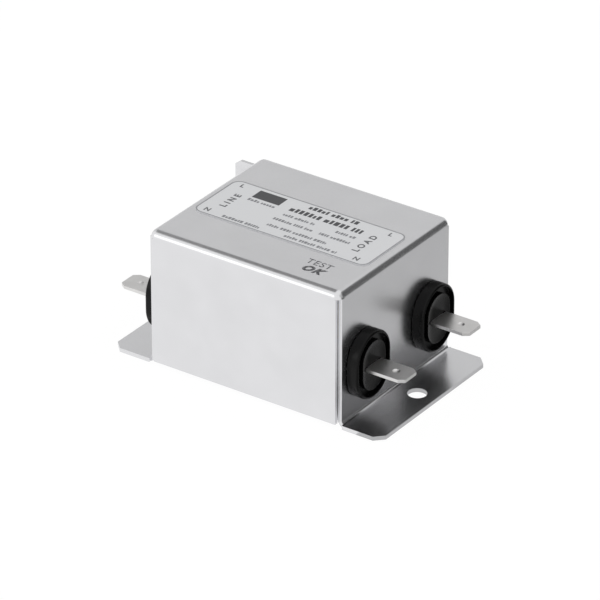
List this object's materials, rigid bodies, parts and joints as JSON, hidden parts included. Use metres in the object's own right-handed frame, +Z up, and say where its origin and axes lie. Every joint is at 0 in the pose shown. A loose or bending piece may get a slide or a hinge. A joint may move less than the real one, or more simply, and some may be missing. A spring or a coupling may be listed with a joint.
{
  "type": "emi line filter",
  "caption": "Power line interference filter in a folded steel can with two mounting flanges, blade terminals in black bushings at both ends and an earth blade at the rear corner.",
  "frame": {"origin": "on the mounting plane under the flanges, midway between the flange holes and under the middle of the case", "axes": "+X along the case towards the load end, +Y towards the rear flap, which carries the earth blade, +Z up, away from the mounting plane"},
  "size_m": [0.0776, 0.044, 0.0344],
  "materials": {
    "tinned_sheet": "satin tin-plated steel sheet, faintly blotchy",
    "liner_film": "matt insulating film",
    "label_film": "satin printed film",
    "bushing_moulding": "satin moulded plastic",
    "tinned_brass": "satin tin plating over brass",
    "board_laminate": "matt laminate",
    "pillar_nylon": "satin natural nylon",
    "ferrite": "matt coated ferrite",
    "holder_moulding": "satin moulded plastic",
    "enamelled_wire": "glossy enamelled copper",
    "x_capacitor_box": "semi-gloss moulded box",
    "y_capacitor_coat": "dipped epoxy coat",
    "resistor_coat": "lacquered ceramic"
  },
  "bodies": {
    "root": {"case": "tinned_sheet", "base_plate": "tinned_sheet", "liner": "liner_film", "label": "label_film", "bushing_line_neutral": "bushing_moulding", "bushing_line_live": "bushing_moulding", "bushing_load_neutral": "bushing_moulding", "bushing_load_live": "bushing_moulding", "terminal_line_neutral": "tinned_brass", "terminal_line_live": "tinned_brass", "terminal_load_neutral": "tinned_brass", "terminal_load_live": "tinned_brass", "circuit_board": "board_laminate", "board_pillars": "pillar_nylon", "choke_core": "ferrite", "choke_holder": "holder_moulding", "winding_neutral": "enamelled_wire", "winding_live": "enamelled_wire", "x_capacitor_line": "x_capacitor_box", "x_capacitor_load": "x_capacitor_box", "y_capacitor_neutral": "y_capacitor_coat", "y_capacitor_live": "y_capacitor_coat", "bleed_resistor": "resistor_coat", "lead_wire_line_neutral": "tinned_brass", "lead_wire_line_live": "tinned_brass", "lead_wire_load_neutral": "tinned_brass", "lead_wire_load_live": "tinned_brass", "earth_strap": "tinned_brass"}
  },
  "joints": []
}
